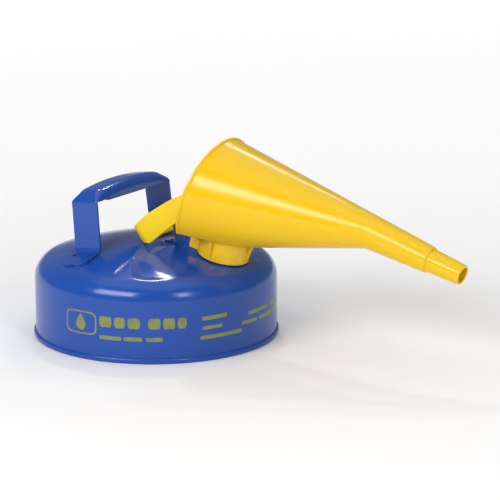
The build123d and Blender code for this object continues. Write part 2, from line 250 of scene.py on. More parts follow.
def makeScuffs():
    # Long thin rubs: noise squeezed along one direction, kept only near its peaks.
    group, start, end = effectGroup(
        "rubScuffs",
        [
            ("Vector", "NodeSocketVector", None),
            ("Stretch", "NodeSocketVector", (30.0, 240.0, 240.0)),
            ("Patch Scale", "NodeSocketFloat", 14.0),
        ],
        [("Mask", "NodeSocketFloat"), ("Patches", "NodeSocketFloat")],
    )
    stretch = addNode(group, "ShaderNodeVectorMath", operation="MULTIPLY")
    group.links.new(start.outputs["Vector"], stretch.inputs[0])
    group.links.new(start.outputs["Stretch"], stretch.inputs[1])
    streaks = addNode(group, "ShaderNodeTexNoise", Scale=1.0, Detail=3.0, Roughness=0.55)
    group.links.new(stretch.outputs[0], streaks.inputs["Vector"])
    thin = rangeNode(group, streaks.outputs["Fac"], 0.60, 0.70)
    patches = addNode(group, "ShaderNodeTexNoise", Detail=4.0, Roughness=0.6)
    group.links.new(start.outputs["Vector"], patches.inputs["Vector"])
    group.links.new(start.outputs["Patch Scale"], patches.inputs["Scale"])
    broad = rangeNode(group, patches.outputs["Fac"], 0.42, 0.64)
    group.links.new(timesNode(group, thin, broad), end.inputs["Mask"])
    group.links.new(broad, end.inputs["Patches"])
    return group


def makeDust():
    # Settled dust: grows with how far a face looks up, mottled by noise.
    group, start, end = effectGroup(
        "settledDust",
        [("Vector", "NodeSocketVector", None), ("Scale", "NodeSocketFloat", 60.0)],
        [("Mask", "NodeSocketFloat")],
    )
    face = group.nodes.new("ShaderNodeNewGeometry")
    split = group.nodes.new("ShaderNodeSeparateXYZ")
    group.links.new(face.outputs["Normal"], split.inputs[0])
    upward = rangeNode(group, split.outputs["Z"], 0.55, 1.0)
    noise = addNode(group, "ShaderNodeTexNoise", Detail=6.0, Roughness=0.65)
    group.links.new(start.outputs["Vector"], noise.inputs["Vector"])
    group.links.new(start.outputs["Scale"], noise.inputs["Scale"])
    mottled = rangeNode(group, noise.outputs["Fac"], 0.35, 0.75)
    group.links.new(timesNode(group, upward, mottled), end.inputs["Mask"])
    return group


def makeGrain():
    # Two sizes of noise added into one height: fine grain plus a slower ripple.
    group, start, end = effectGroup(
        "surfaceGrain",
        [
            ("Vector", "NodeSocketVector", None),
            ("Fine Scale", "NodeSocketFloat", 900.0),
            ("Ripple Scale", "NodeSocketFloat", 90.0),
        ],
        [("Height", "NodeSocketFloat"), ("Mottle", "NodeSocketFloat")],
    )
    fine = addNode(group, "ShaderNodeTexNoise", Detail=3.0, Roughness=0.5)
    ripple = addNode(group, "ShaderNodeTexNoise", Detail=2.0, Roughness=0.4)
    for noise, label in ((fine, "Fine Scale"), (ripple, "Ripple Scale")):
        group.links.new(start.outputs["Vector"], noise.inputs["Vector"])
        group.links.new(start.outputs[label], noise.inputs["Scale"])
    both = addNode(group, "ShaderNodeMath", operation="ADD")
    group.links.new(timesNode(group, fine.outputs["Fac"], 0.35), both.inputs[0])
    group.links.new(ripple.outputs["Fac"], both.inputs[1])
    group.links.new(both.outputs[0], end.inputs["Height"])
    group.links.new(ripple.outputs["Fac"], end.inputs["Mottle"])
    return group


edgeWear = makeEdgeWear()
rubScuffs = makeScuffs()
settledDust = makeDust()
surfaceGrain = makeGrain()


def newFinish(name, plain):
    # A fresh material, its shader's constant sockets, and Object coordinates.
    material = bpy.data.materials.new(name)
    material.use_nodes = True
    tree = material.node_tree
    shader = tree.nodes["Principled BSDF"]
    for key, value in plain.items():
        shader.inputs[key].default_value = value
    place = tree.nodes.new("ShaderNodeTexCoord")
    return material, tree, shader, place.outputs["Object"]


def placeGroup(tree, group, vector, **settings):
    node = tree.nodes.new("ShaderNodeGroup")
    node.node_tree = group
    tree.links.new(vector, node.inputs["Vector"])
    for key, value in settings.items():
        node.inputs[key].default_value = value
    return node


def mixColours(tree, mask, first, second):
    node = addNode(tree, "ShaderNodeMix", data_type="RGBA")
    tree.links.new(mask, node.inputs[0])
    for k, colour in ((6, first), (7, second)):
        if isinstance(colour, (tuple, list)):
            node.inputs[k].default_value = (*colour, 1.0)
        else:
            tree.links.new(colour, node.inputs[k])
    return node.outputs[2]


def bumpFrom(tree, shader, height, strength, distance):
    bump = addNode(tree, "ShaderNodeBump", Strength=strength, Distance=distance)
    tree.links.new(height, bump.inputs["Height"])
    tree.links.new(bump.outputs["Normal"], shader.inputs["Normal"])


# Blue enamel on steel: even colour, faint orange peel, paler where edges have rubbed.
enamel = dict(base=(0.009, 0.070, 0.385), deep=(0.007, 0.062, 0.345), rubbed=(0.10, 0.19, 0.50),
              dusty=(0.12, 0.17, 0.36), roughLow=0.16, roughHigh=0.23, peel=0.05, specular=0.48,
              dustShare=0.08, scuffShare=0.07, wearShare=0.18)


def makeEnamel():
    material, tree, shader, place = newFinish("blueEnamel", {"Specular IOR Level": enamel["specular"]})
    grain = placeGroup(tree, surfaceGrain, place, **{"Fine Scale": 700.0, "Ripple Scale": 210.0})
    stretch = (160.0, 160.0, 700.0)
    scuffs = placeGroup(tree, rubScuffs, place, **{"Stretch": stretch, "Patch Scale": 22.0})
    wear = placeGroup(tree, edgeWear, place, **{"Scale": 260.0})
    dust = placeGroup(tree, settledDust, place, **{"Scale": 70.0})
    paint = mixColours(tree, grain.outputs["Mottle"], enamel["deep"], enamel["base"])
    settled = timesNode(tree, dust.outputs["Mask"], enamel["dustShare"])
    dusted = mixColours(tree, settled, paint, enamel["dusty"])
    rubs = timesNode(tree, scuffs.outputs["Mask"], enamel["scuffShare"])
    scuffed = mixColours(tree, rubs, dusted, enamel["rubbed"])
    edges = timesNode(tree, wear.outputs["Mask"], enamel["wearShare"])
    worn = mixColours(tree, edges, scuffed, enamel["rubbed"])
    tree.links.new(worn, shader.inputs["Base Color"])
    rough = rangeNode(
        tree, scuffs.outputs["Patches"], 0.0, 1.0, enamel["roughLow"], enamel["roughHigh"]
    )
    tree.links.new(rough, shader.inputs["Roughness"])
    bumpFrom(tree, shader, grain.outputs["Height"], enamel["peel"], 0.0004)
    return material


# Yellow polyethylene of the funnel, milky and scuffed in storage, and the loop's stronger yellow.
polyethylene = dict(base=(0.860, 0.535, 0.002), deep=(0.840, 0.515, 0.002), rubbed=(0.93, 0.72, 0.16),
                    roughLow=0.19, roughHigh=0.27, scuffShare=0.55, wearShare=0.3, peel=0.10,
                    stretch=(60.0, 700.0, 700.0))
loopPlastic = dict(base=(0.990, 0.690, 0.002), deep=(0.970, 0.650, 0.002), rubbed=(0.97, 0.80, 0.25),
                   roughLow=0.26, roughHigh=0.40, scuffShare=0.3, wearShare=0.3, peel=0.06,
                   stretch=(260.0, 900.0, 260.0))


def makePlastic(name, colours):
    material, tree, shader, place = newFinish(
        name,
        {
            "Specular IOR Level": 0.40,
            "Subsurface Weight": 0.08,
            "Subsurface Radius": (0.006, 0.003, 0.0006),
            "Subsurface Scale": 0.5,
        },
    )
    grain = placeGroup(tree, surfaceGrain, place, **{"Fine Scale": 1200.0, "Ripple Scale": 60.0})
    scuffs = placeGroup(
        tree, rubScuffs, place, **{"Stretch": colours["stretch"], "Patch Scale": 18.0}
    )
    wear = placeGroup(tree, edgeWear, place, **{"Scale": 200.0})
    body = mixColours(tree, grain.outputs["Mottle"], colours["deep"], colours["base"])
    rubs = timesNode(tree, scuffs.outputs["Mask"], colours["scuffShare"])
    scuffed = mixColours(tree, rubs, body, colours["rubbed"])
    edges = timesNode(tree, wear.outputs["Mask"], colours["wearShare"])
    worn = mixColours(tree, edges, scuffed, colours["rubbed"])
    tree.links.new(worn, shader.inputs["Base Color"])
    rough = rangeNode(
        tree, scuffs.outputs["Patches"], 0.0, 1.0, colours["roughLow"], colours["roughHigh"]
    )
    tree.links.new(rough, shader.inputs["Roughness"])
    bumpFrom(tree, shader, grain.outputs["Height"], colours["peel"], 0.0005)
    return material


# Zinc-plated and bare steels, drawn or rolled: fine lines along one direction.
steels = dict(zinc=(0.60, 0.61, 0.60), dull=(0.40, 0.41, 0.42), wire=(0.42, 0.42, 0.43),
              wireDark=(0.28, 0.28, 0.29), peel=0.12)


def makeSteel(name, light, dark, stretch, roughLow, roughHigh):
    material, tree, shader, place = newFinish(name, {"Metallic": 1.0})
    grain = placeGroup(tree, surfaceGrain, place, **{"Fine Scale": 1500.0, "Ripple Scale": 160.0})
    scuffs = placeGroup(tree, rubScuffs, place, **{"Stretch": stretch, "Patch Scale": 90.0})
    tone = mixColours(tree, grain.outputs["Mottle"], dark, light)
    tree.links.new(mixColours(tree, scuffs.outputs["Mask"], tone, light), shader.inputs["Base Color"])
    rough = rangeNode(tree, scuffs.outputs["Patches"], 0.0, 1.0, roughLow, roughHigh)
    tree.links.new(rough, shader.inputs["Roughness"])
    bumpFrom(tree, shader, grain.outputs["Height"], steels["peel"], 0.0002)
    return material


# Screen: round holes on a square pitch, shown as dots of painted shade on dull steel; the holes are not
# cut, and the dark seen through them is painted.
screen = dict(pitch=1.6, hole=0.32, rim=0.08, dark=(0.01, 0.01, 0.01), rough=(0.38, 0.9))


def makeScreen():
    material, tree, shader, place = newFinish("perforatedScreen", {"Metallic": 1.0})
    dots = addNode(tree, "ShaderNodeTexVoronoi", feature="F1", Randomness=0.0)
    dots.inputs["Scale"].default_value = 1.0 / (screen["pitch"] * mm)
    tree.links.new(place, dots.inputs["Vector"])
    holeEnd = screen["hole"] + screen["rim"]
    hole = rangeNode(tree, dots.outputs["Distance"], screen["hole"], holeEnd, 1.0, 0.0)
    grain = placeGroup(tree, surfaceGrain, place, **{"Fine Scale": 1400.0, "Ripple Scale": 200.0})
    tone = mixColours(tree, grain.outputs["Mottle"], steels["dull"], steels["zinc"])
    # Inside each hole the colour is painted shade, near black, standing in for the dark that would show
    # through the hole.
    tree.links.new(mixColours(tree, hole, tone, screen["dark"]), shader.inputs["Base Color"])
    tree.links.new(rangeNode(tree, hole, 0.0, 1.0, *screen["rough"]), shader.inputs["Roughness"])
    return material


# Matt black rubber of the lid's gasket.
rubber = dict(dark=(0.012, 0.012, 0.013), light=(0.03, 0.03, 0.031), rough=(0.62, 0.8), peel=0.2)


def makeRubber():
    material, tree, shader, place = newFinish("gasketRubber", {"Specular IOR Level": 0.4})
    grain = placeGroup(tree, surfaceGrain, place, **{"Fine Scale": 1600.0, "Ripple Scale": 120.0})
    tone = mixColours(tree, grain.outputs["Mottle"], rubber["dark"], rubber["light"])
    tree.links.new(tone, shader.inputs["Base Color"])
    rough = rangeNode(tree, grain.outputs["Mottle"], 0.3, 0.7, *rubber["rough"])
    tree.links.new(rough, shader.inputs["Roughness"])
    bumpFrom(tree, shader, grain.outputs["Height"], rubber["peel"], 0.0003)
    return material


# Printed marks: thin olive-yellow ink, slightly patchy where it has rubbed.
ink = dict(base=(0.240, 0.270, 0.055), thin=(0.110, 0.160, 0.170), thinShare=0.55, rough=(0.35, 0.5))


def makeInk():
    material, tree, shader, place = newFinish("markInk", {"Specular IOR Level": 0.45})
    stretch = (500.0, 500.0, 900.0)
    scuffs = placeGroup(tree, rubScuffs, place, **{"Stretch": stretch, "Patch Scale": 150.0})
    thin = timesNode(tree, scuffs.outputs["Patches"], ink["thinShare"])
    tree.links.new(mixColours(tree, thin, ink["base"], ink["thin"]), shader.inputs["Base Color"])
    rough = rangeNode(tree, scuffs.outputs["Patches"], 0.0, 1.0, *ink["rough"])
    tree.links.new(rough, shader.inputs["Roughness"])
    return material


blueEnamel = makeEnamel()
funnelYellow = makePlastic("funnelPolyethylene", polyethylene)
loopYellow = makePlastic("loopPlastic", loopPlastic)
zincPlate = makeSteel("zincPlate", steels["zinc"], steels["dull"], (120.0, 1600.0, 1600.0), 0.24, 0.42)
springWire = makeSteel(
    "springWire", steels["wire"], steels["wireDark"], (1600.0, 200.0, 1600.0), 0.28, 0.4
)
perforated = makeScreen()
rubberBlack = makeRubber()
markInk = makeInk()
print("finishes ready")


# Can shell, in millimetres. Steps are cap step, arc points and wall step of a profile.
can = dict(
    wallR=103.2, footZ=4.2, sheet=0.9, domeR=300.2, apexZ=82.2, shoulderR=19.8, around=432,
    outerSteps=(1.15, 22, 4.0), innerSteps=(14.0, 6, 20.0), innerDrop=2.4, innerDropRate=0.03,
    innerDropFrom=40, holeR=19.15, holeReach=14,
)
# Stamped shapes of the dome. Pairs are where a fade starts and how wide it is.
stamp = dict(
    centreX=52.0, halfX=38.0, halfY=78.0, power=2.5, depth=1.3, flankIn=15.0, flankOut=10.0,
    rimFade=(84, 11), spoutPlain=(27, 5), bracketX=22, bracketHalf=(36, 20), bracketFade=10,
    creaseRise=0.4, creaseTip=(14.0, 86.8), creaseFront=(11.4, 28.0), creaseBack=(-15.5, 63.0),
    creaseStart=(22, 10), creaseEnd=(78, 10), backRise=(-26, 26), frontFall=(0, 3.0),
    backEdge=(-2, 7), creaseRimFade=(86, 9),
)
domeCentreZ = can["apexZ"] - can["domeR"]
shoulderX = can["wallR"] - can["shoulderR"]
shoulderLean = math.asin(shoulderX / (can["domeR"] - can["shoulderR"]))
shoulderZ = domeCentreZ + (can["domeR"] - can["shoulderR"]) * math.cos(shoulderLean)


def canProfile(inset, capStep, arcCount, wallStep):
    # Radius and height from the pole down: dome arc, shoulder arc, straight wall.
    lean = shoulderLean
    capR = can["domeR"] - inset
    arcR = can["shoulderR"] - inset
    capCount = max(3, int(capR * lean / capStep))
    a = np.linspace(0, lean, capCount)
    cap = np.stack([capR * np.sin(a), domeCentreZ + capR * np.cos(a)], -1)
    b = np.linspace(lean, np.pi / 2, arcCount)[1:]
    arc = np.stack([shoulderX + arcR * np.sin(b), shoulderZ + arcR * np.cos(b)], -1)
    wall = densePath([arc[-1], (can["wallR"] - inset, can["footZ"])], wallStep)[1:]
    return np.vstack([cap, arc, wall])


def aheadOf(x, y, start, end):
    # Distance from the line start-end, positive towards +X.
    run = np.array(end) - np.array(start)
    run = run / np.hypot(*run)
    return (x - start[0]) * abs(run[1]) - (y - start[1]) * run[0] * np.sign(run[1])


def domeRelief(x, y):
    # A height added to the dome: a shallow groove along the superellipse round the raised
    # spout field, and two creases in a V behind it, each a slow rise and a quick fall.
    fromCentre = x - stamp["centreX"]
    power = stamp["power"]
    shareX, shareY = np.abs(fromCentre / stamp["halfX"]), np.abs(y / stamp["halfY"])
    level = (shareX**power + shareY**power) ** (1 / power)
    reach = np.hypot(fromCentre, y) * (1 - 1 / np.maximum(level, 1e-3))
    flank = np.where(
        reach < 0, 1 - smoothStep(-reach / stamp["flankIn"]), 1 - smoothStep(reach / stamp["flankOut"])
    )
    r = np.hypot(x, y)
    groove = -stamp["depth"] * flank * fadeFrom(r, *stamp["rimFade"])
    groove *= growFrom(np.hypot(x - spout["foot"][0], y), *stamp["spoutPlain"])
    # The bracket's foot stands on plain dome.
    plainX, plainY = stamp["bracketHalf"]
    nearX = smoothStep((plainX - np.abs(x - stamp["bracketX"])) / stamp["bracketFade"])
    groove *= 1 - nearX * smoothStep((plainY - np.abs(y)) / stamp["bracketFade"])
    away = np.abs(y)
    ahead = aheadOf(x, away, stamp["creaseFront"], stamp["creaseTip"])
    ridge = growFrom(ahead, *stamp["backRise"]) * fadeFrom(ahead, *stamp["frontFall"])
    ridge *= growFrom(aheadOf(x, away, stamp["creaseBack"], stamp["creaseTip"]), *stamp["backEdge"])
    ends = growFrom(away, *stamp["creaseStart"]) * fadeFrom(away, *stamp["creaseEnd"])
    return groove + stamp["creaseRise"] * ridge * ends * fadeFrom(r, *stamp["creaseRimFade"])


def makeCanShell():
    # Rows run from the dome's pole down the outside, then up the inside to the pole again.
    outer = canProfile(0.0, *can["outerSteps"])
    inner = canProfile(can["sheet"], *can["innerSteps"])[::-1]
    a = np.linspace(0, 2 * np.pi, can["around"], endpoint=False)
    profile = np.vstack([outer, inner])
    x = profile[:, 0, None] * np.cos(a)
    y = profile[:, 0, None] * np.sin(a)
    z = np.repeat(profile[:, 1, None], can["around"], 1)
    # The inside is lowered a little under the dome, so that the groove doesn't reach through it.
    isInner = np.arange(len(profile)) >= len(outer)
    lowered = -np.minimum(can["innerDrop"], can["innerDropRate"] * np.maximum(0, z - can["innerDropFrom"]))
    z = z + np.where(isInner[:, None], lowered, domeRelief(x, y))
    return gridPiece("can_shell", np.stack([x, y, z], -1), wrapCols=True, mergeBelow=0.002)


def cutNeckHole(piece):
    # The neck passes through the dome, so a round plug on the spout's axis is taken out.
    r, reach = can["holeR"], can["holeReach"]
    outline = [(0, -reach), (r, -reach), (r, reach), (0, reach)]
    plug = revolvePiece("neck_plug", outline, 96, spoutFoot, spoutUp, closed=False)
    cut = piece.modifiers.new("neck hole", "BOOLEAN")
    cut.operation = "DIFFERENCE"
    cut.solver = "EXACT"
    cut.object = plug
    applyModifiers(piece)
    bpy.data.objects.remove(plug)


canShell = makeCanShell()
cutNeckHole(canShell)
settle(canShell, "can", blueEnamel, ["can_body"], sharpDeg=50)
print("can shell:", len(canShell.data.polygons), "faces")

# Rolled seam round the foot: a flattened bead that the can stands on.
seam = dict(outerR=105.0, innerR=101.2, height=4.6, corner=1.7, cornerPoints=9, around=360)


def makeSeam():
    # Rounded rectangle in (radius, height), carried round the can's axis.
    out, inn, top, c = seam["outerR"], seam["innerR"], seam["height"], seam["corner"]
    centres = ((out - c, c), (out - c, top - c), (inn + c, top - c), (inn + c, c))
    corners = [
        arcPoints(centre, c, 90 * k - 90, 90 * k, seam["cornerPoints"]) for k, centre in enumerate(centres)
    ]
    return revolvePiece("foot_seam", np.vstack(corners), seam["around"])


settle(makeSeam(), "can", blueEnamel, ["bottom_seam"])


# Handle: one steel strap in a plane that stands square to the dome.
strap = dict(
    width=25.4, thick=2.0, x=31.0, legY=53.3, footBend=55.3, footEnd=81.0, footNear=64.3, footPoints=10,
    legTop=119.5, shoulder=(44.0, 126.3), crown=130.5, archPoints=8, footRound=9.0, footR=300.0,
    bendR=5.0, topR=3.2, shoulderR=16.0, archR=60.0, rollLow=117.4, rollRound=7.5, gripExtra=1.0,
    gap=0.05, step=0.8, leastRoll=0.02, across=61, edge=0.5,
)
strapLean = math.asin(strap["x"] / can["domeR"])
strapUp = np.array([-math.sin(strapLean), 0.0, math.cos(strapLean)])
strapNormal = np.array([math.cos(strapLean), 0.0, math.sin(strapLean)])
strapOrigin = np.array([0.0, 0.0, domeCentreZ])


def filletPath(points, radii, step):
    # Straight runs joined by tangent arcs; each corner's arc touches both of its runs.
    points = [np.array(p, float) for p in points]
    rows = [points[0]]
    for k in range(1, len(points) - 1):
        back = points[k - 1] - points[k]
        on = points[k + 1] - points[k]
        back, on = back / np.linalg.norm(back), on / np.linalg.norm(on)
        half = math.acos(np.clip(back @ on, -1, 1)) / 2
        reach = radii[k - 1] / math.tan(half)
        middle = points[k] + (back + on) / np.linalg.norm(back + on) * radii[k - 1] / math.sin(half)
        first, last = points[k] + back * reach - middle, points[k] + on * reach - middle
        turn = math.pi - 2 * half
        sign = np.sign(first[0] * last[1] - first[1] * last[0])
        for t in np.linspace(0, 1, max(4, int(turn * radii[k - 1] / step))):
            c, s = math.cos(turn * t), math.sin(turn * t) * sign
            rows.append(middle + np.array([first[0] * c - first[1] * s, first[0] * s + first[1] * c]))
    rows.append(points[-1])
    return np.array(rows)


def evenPath(path, step):
    # The same path, sampled again at equal steps of its length.
    gaps = np.r_[0, np.cumsum(np.linalg.norm(np.diff(path, axis=0), axis=1))]
    count = int(gaps[-1] / step) + 1
    at = np.linspace(0, gaps[-1], count)
    return np.stack([np.interp(at, gaps, path[:, k]) for k in range(path.shape[1])], -1)


def planeHeight(z):
    # Height of a point above the dome's centre, measured along the leaning strap.
    return (z - domeCentreZ) / math.cos(strapLean)


def handlePath():
    # Middle line of the strap in its own plane: sideways and height from the dome's centre.
    midR = can["domeR"] + strap["thick"] / 2 + strap["gap"]
    shoulderY, shoulderTop = strap["shoulder"]
    crown = planeHeight(strap["crown"]) - strap["thick"] / 2
    footY = np.linspace(strap["footEnd"], strap["footNear"], strap["footPoints"])
    foot = np.stack([footY, np.sqrt(midR**2 - footY**2)], -1)
    bend = np.array([[strap["footBend"], math.sqrt(midR**2 - strap["footBend"] ** 2)]])
    legTop = np.array([[strap["legY"], planeHeight(strap["legTop"])]])
    archY = np.linspace(shoulderY, 0, strap["archPoints"])
    sag = crown - planeHeight(shoulderTop)
    arch = np.stack([archY, crown - sag * (archY / shoulderY) ** 2], -1)
    corners = np.vstack([foot, bend, legTop, arch])
    radii = [strap["footR"]] * (len(foot) - 1) + [strap["bendR"], strap["topR"], strap["shoulderR"]]
    radii += [strap["archR"]] * (len(arch) - 2)
    half = evenPath(filletPath(corners, radii, 0.5), strap["step"])
    other = half[-2::-1] * np.array([-1, 1])
    return np.vstack([half, other])


def makeHandle():
    # Across the strap, t runs from -1 to 1. The grip's edges turn down: beyond the
    # flat middle the sheet follows a quarter circle and then drops straight.
    path = handlePath()
    along = np.gradient(path, axis=0)
    along /= np.linalg.norm(along, axis=1)[:, None]
    outward = np.stack([along[:, 1], -along[:, 0]], -1)
    outward *= np.sign((outward * (path - path.mean(0))).sum(1))[:, None]
    # The rolled edges end on one straight line, just below the tops of the legs.
    depth = np.maximum(path[:, 1] - planeHeight(strap["rollLow"]), 0.0) + strap["leastRoll"]
    bend = np.minimum(strap["rollRound"], depth)
    halfWidth = strap["width"] / 2 - strap["thick"] / 2
    t = np.linspace(-1, 1, strap["across"])
    # Developed distance from the middle, larger at the grip because its edges turn down.
    arcLength = bend * np.pi / 2
    middle = halfWidth + strap["gripExtra"] - bend
    reach = middle + arcLength + (depth - bend)
    s = np.abs(t)[None] * reach[:, None]
    flat = middle[:, None]
    angle = np.clip((s - flat) / bend[:, None], 0, np.pi / 2)
    straight = np.clip(s - flat - arcLength[:, None], 0, None)
    across = np.sign(t)[None] * (np.minimum(s, flat) + bend[:, None] * np.sin(angle))
    down = bend[:, None] * (1 - np.cos(angle)) + straight
    # Foot ends: the half width shrinks along a quarter circle, so the corners are round.
    lengthFromEnd = np.r_[0, np.cumsum(np.linalg.norm(np.diff(path, axis=0), axis=1))]
    lengthFromEnd = np.minimum(lengthFromEnd, lengthFromEnd[-1] - lengthFromEnd)
    c = strap["footRound"]
    left = np.clip(1 - lengthFromEnd / c, 0, 1)
    cornerCut = (c - c * np.sqrt(1 - left**2)) / (strap["width"] / 2)
    across = across * (1 - cornerCut)[:, None]
    centre = strapOrigin + path[:, 0, None] * sideways + path[:, 1, None] * strapUp
    out3 = outward[:, 0, None] * sideways + outward[:, 1, None] * strapUp
    grid = centre[:, None] + across[..., None] * strapNormal - down[..., None] * out3[:, None]
    piece = gridPiece("carry_handle", grid, mergeBelow=0.002)
    return thicken(piece, strap["thick"], 0.0, strap["edge"])


settle(makeHandle(), "can", blueEnamel, ["handle"], sharpDeg=60)
print("handle ready")


# Squeeze loop. Its edges are lines over the run from its rear web: height, then slope.
loop = dict(
    start=(1.0, 83.3), slope=37.0, half=28.0, wall=3.0, corner=9.0, lowEnd=62.0, topEnd=72.4,
    lowCutSlope=-0.7536, lowLine=(-7.23, 0.027), highLine=(13.81, -0.0763), bulge=2.8, bulgeRise=26,
    bulgeFade=(44, 30), edge=1.1, pin=(29.0, 104.5), lidPin=(48.2, 106.4), bossR=4.8, bossIn=9.4,
    bossOverlap=0.4, noseR=2.5, noseGap=0.3, noseOut=11.6, armPoints=48, cornerPoints=14, webPoints=12,
)
loopSlope = math.radians(loop["slope"])
loopRun = np.array([math.cos(loopSlope), 0.0, math.sin(loopSlope)])
loopRise = np.array([-math.sin(loopSlope), 0.0, math.cos(loopSlope)])
loopStart = np.array([loop["start"][0], 0.0, loop["start"][1]])


def roundedBar(halfWide, low, high, edge, count=5):
    # Rounded rectangle as offsets across the bar and heights; low and high are given per station.
    a = np.radians(np.linspace(0, 90, count))
    across, shift, side = [], [], []
    for sx, sy, start in ((1, 1, 0), (-1, 1, 90), (-1, -1, 180), (1, -1, 270)):
        turn = np.radians(start) + a
        across.append(sx * (halfWide - edge) + edge * np.cos(turn))
        shift.append(edge * np.sin(turn) - sy * edge)
        side.append(np.full(count, 1.0 if sy > 0 else 0.0))
    across, shift, side = map(np.concatenate, (across, shift, side))
    along = low[:, None] * (1 - side) + high[:, None] * side + shift
    return np.broadcast_to(across, along.shape), along


def makeLoop():
    # A bar section carried round a U: arm, corner arc, rear web, corner arc, arm.
    mid = loop["half"] - loop["wall"] / 2
    c = loop["corner"] - loop["wall"] / 2
    inner = loop["wall"] / 2
    arm = np.linspace(loop["lowEnd"], inner + c, loop["armPoints"])
    armRows = np.stack([arm, np.full_like(arm, mid)], -1)
    cornerRows = arcPoints((inner + c, mid - c), c, 90, 180, loop["cornerPoints"])[1:]
    web = np.linspace(mid - c, 0, loop["webPoints"] + 1)[1:]
    webRows = np.stack([np.full_like(web, inner), web], -1)
    half = np.vstack([armRows, cornerRows, webRows])
    path = np.vstack([half, half[-2::-1] * np.array([1, -1])])
    along = np.gradient(path, axis=0)
    along /= np.linalg.norm(along, axis=1)[:, None]
    across = np.stack([-along[:, 1], along[:, 0]], -1)
    run = path[:, 0]
    lowAt, lowSlope = loop["lowLine"]
    low = np.maximum(loop["lowCutSlope"] * run, lowAt + lowSlope * run)
    # Near the open ends the top edge reaches further forwards than the lower one.
    stretch = (loop["topEnd"] - loop["corner"]) / (loop["lowEnd"] - loop["corner"])
    topRun = np.where(run > loop["corner"], loop["corner"] + (run - loop["corner"]) * stretch, run)
    highAt, highSlope = loop["highLine"]
    bulge = loop["bulge"] * smoothStep(topRun / loop["bulgeRise"]) * fadeFrom(topRun, *loop["bulgeFade"])
    high = highAt + highSlope * topRun + bulge
    offset, height = roundedBar(loop["wall"] / 2, low, high, loop["edge"])
    share = (height - low[:, None]) / (high - low)[:, None]
    runHere = run[:, None] * (1 - share) + topRun[:, None] * share
    grid = (
        loopStart
        + (runHere + offset * across[:, 0, None])[..., None] * loopRun
        + (path[:, 1, None] + offset * across[:, 1, None])[..., None] * sideways
        + height[..., None] * loopRise
    )
    return gridPiece("squeeze_loop", grid, wrapCols=True, capRows=True, mergeBelow=0.002)


def sidePlate(name, outline, nearY, farY, edge=0.4):
    # A closed outline in (x, z) carried sideways, drawn in slightly at both ends.
    outline = np.asarray(outline, float)
    middle = outline.mean(0)
    pull = outline - middle
    inner = middle + pull * (1 - edge / np.linalg.norm(pull, axis=1))[:, None]
    rows = []
    for ring, y in ((inner, nearY), (outline, nearY + edge * np.sign(farY - nearY)),
                    (outline, farY - edge * np.sign(farY - nearY)), (inner, farY)):
        rows.append(np.stack([ring[:, 0], np.full(len(ring), y), ring[:, 1]], -1))
    return gridPiece(name, np.array(rows), wrapCols=True, capRows=True)


def noseOutline():
    # Round boss on the pin with a rounded nose reaching to the lid's tail.
    pin = np.array(loop["pin"])
    touch = pin + (np.array(loop["lidPin"]) - pin) * 2 / 3
    nose = touch + np.array([0.0, loop["noseR"] + loop["noseGap"]])
    boss = arcPoints(pin, loop["bossR"] - 0.2, 70, 330, 28)
    tip = arcPoints(nose, loop["noseR"], -70, 95, 14)
    return np.vstack([boss, tip])


def joinPieces(pieces, name):
    # One mesh from several closed shells.
    whole = bmesh.new()
    for piece in pieces:
        whole.from_mesh(piece.data)
    mesh = bpy.data.meshes.new(name)
    whole.to_mesh(mesh)
    whole.free()
    for piece in pieces:
        bpy.data.objects.remove(piece)
    joined = bpy.data.objects.new(name, mesh)
    bpy.context.scene.collection.objects.link(joined)
    return joined


def makeTriggerLoop():
    # The loop, and on each side a boss on its pin and a nose inside the boss.
    parts = [makeLoop()]
    boss = arcPoints(loop["pin"], loop["bossR"], 0, 360, 41)[:-1]
    far = loop["half"] - loop["wall"] + loop["bossOverlap"]
    noseIn = loop["bossIn"] + 0.02
    for hand in (1, -1):
        parts.append(sidePlate("loop_boss", boss, hand * loop["bossIn"], hand * far))
        parts.append(sidePlate("loop_nose", noseOutline(), hand * noseIn, hand * loop["noseOut"], 0.3))
    return joinPieces(parts, "trigger_loop")


settle(makeTriggerLoop(), "trigger", loopYellow, ["trigger_yoke"], sharpDeg=40)
print("loop ready")


# Funnel. Sections are ahead, up and radius in the spout frame, with a lean at the mouth.
# The mouth's bead is given as distance from the rim and how far it stands out.
funnel = dict(
    mouth=(-22.7, 48.6, 49.3, 85.0), kink=(127.6, 69.8, 14.0), step=(184.0, 66.4, 10.9), spigotR=9.7,
    tip=(213.2, 65.0, 8.3), skin=1.8, edge=0.45, around=144,
    bead=((0.0, 0.5), (0.25, 0.9), (0.8, 1.0), (1.9, 1.0), (2.4, 0.8), (2.75, 0.35), (3.1, 0.06),
          (3.6, 0.0)),
    coneStart=0.05, coneRows=72, tubeRows=26, stepRows=7, stepLong=1.6, spigotStart=0.02, spigotRows=22,
    bendShare=4,
)


def spoutPoint(p, s):
    # A place given ahead and up in the spout frame: foot + p x ahead + s x up.
    p, s = np.asarray(p, float), np.asarray(s, float)
    return spoutFoot + p[..., None] * spoutAhead + s[..., None] * spoutUp


